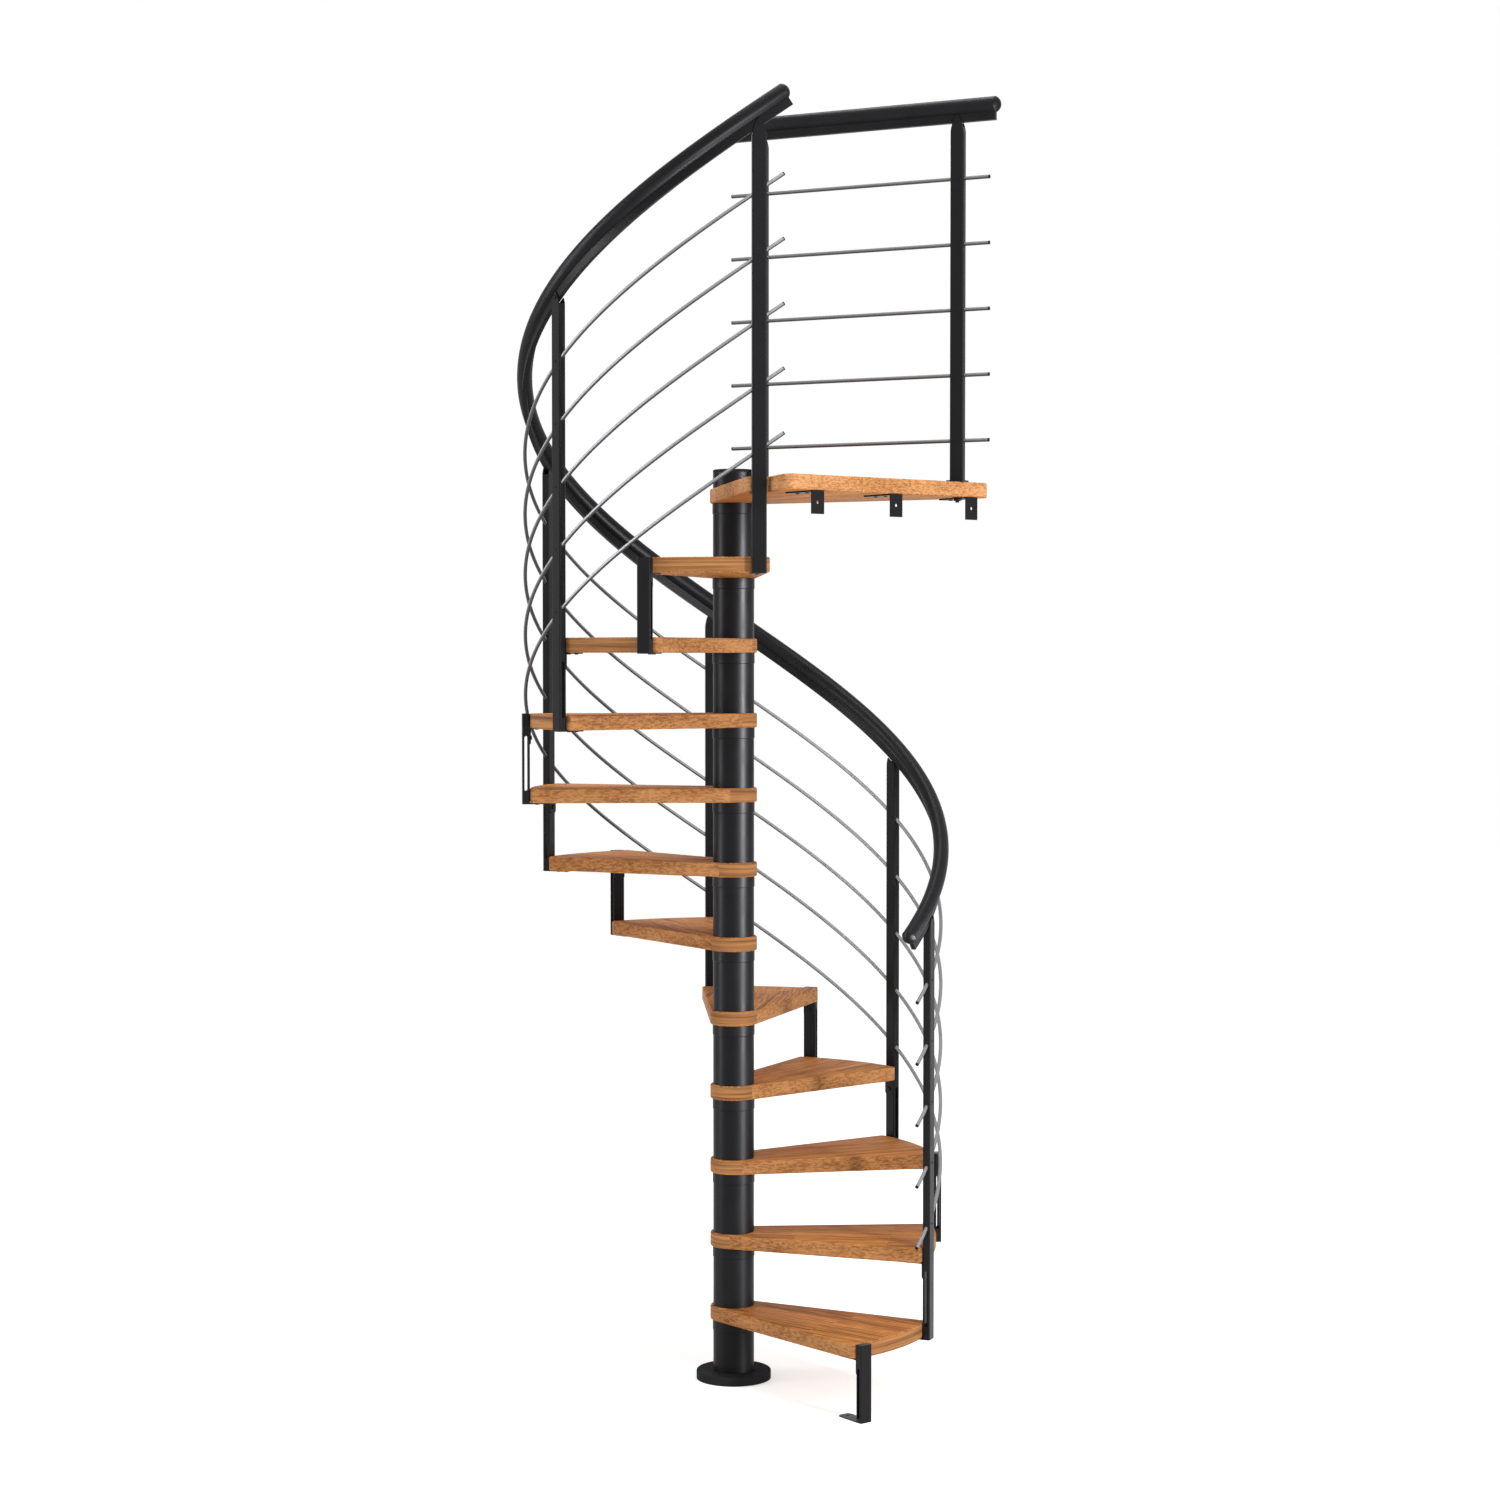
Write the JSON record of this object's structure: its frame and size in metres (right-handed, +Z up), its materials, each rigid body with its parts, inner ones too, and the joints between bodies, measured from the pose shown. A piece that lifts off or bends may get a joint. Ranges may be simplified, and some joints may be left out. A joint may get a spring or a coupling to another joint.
{
  "type": "spiral staircase",
  "caption": "Spiral staircase with oak treads around a steel column, slotted steel posts, a helical handrail with rods, and a railed landing at the top.",
  "frame": {"origin": "centre of the base flange's underside, on the floor and on the column's axis", "axes": "+Z up along the column; -Y toward the straight outer edge of the landing; the stair climbs counter-clockwise seen from above"},
  "size_m": [1.1926, 1.307, 3.489],
  "materials": {
    "oak": "oiled glued oak staves",
    "black_steel": "satin black powder coat",
    "black_handrail": "satin black",
    "stainless": "brushed stainless steel"
  },
  "bodies": {
    "root": {"base_flange": "black_steel", "spindle": "black_steel", "column_tubes": "black_steel", "column_cap": "black_steel", "tread_01": "oak", "tread_02": "oak", "tread_03": "oak", "tread_04": "oak", "tread_05": "oak", "tread_06": "oak", "tread_07": "oak", "tread_08": "oak", "tread_09": "oak", "tread_10": "oak", "tread_11": "oak", "landing": "oak", "floor_bracket": "black_steel", "step_bracket_02": "black_steel", "step_bracket_04": "black_steel", "step_bracket_06": "black_steel", "step_bracket_08": "black_steel", "step_bracket_10": "black_steel", "post_01": "black_steel", "post_03": "black_steel", "post_05": "black_steel", "post_07": "black_steel", "post_09": "black_steel", "post_11": "black_steel", "tread_angles": "black_steel", "spiral_handrail": "black_handrail", "handrail_caps": "black_handrail", "spiral_rod_1": "stainless", "spiral_rod_2": "stainless", "spiral_rod_3": "stainless", "spiral_rod_4": "stainless", "spiral_rod_5": "stainless", "landing_post_inner": "black_steel", "landing_post_outer": "black_steel", "landing_handrail": "black_handrail", "landing_rods": "stainless", "landing_brackets": "black_steel"}
  },
  "joints": []
}
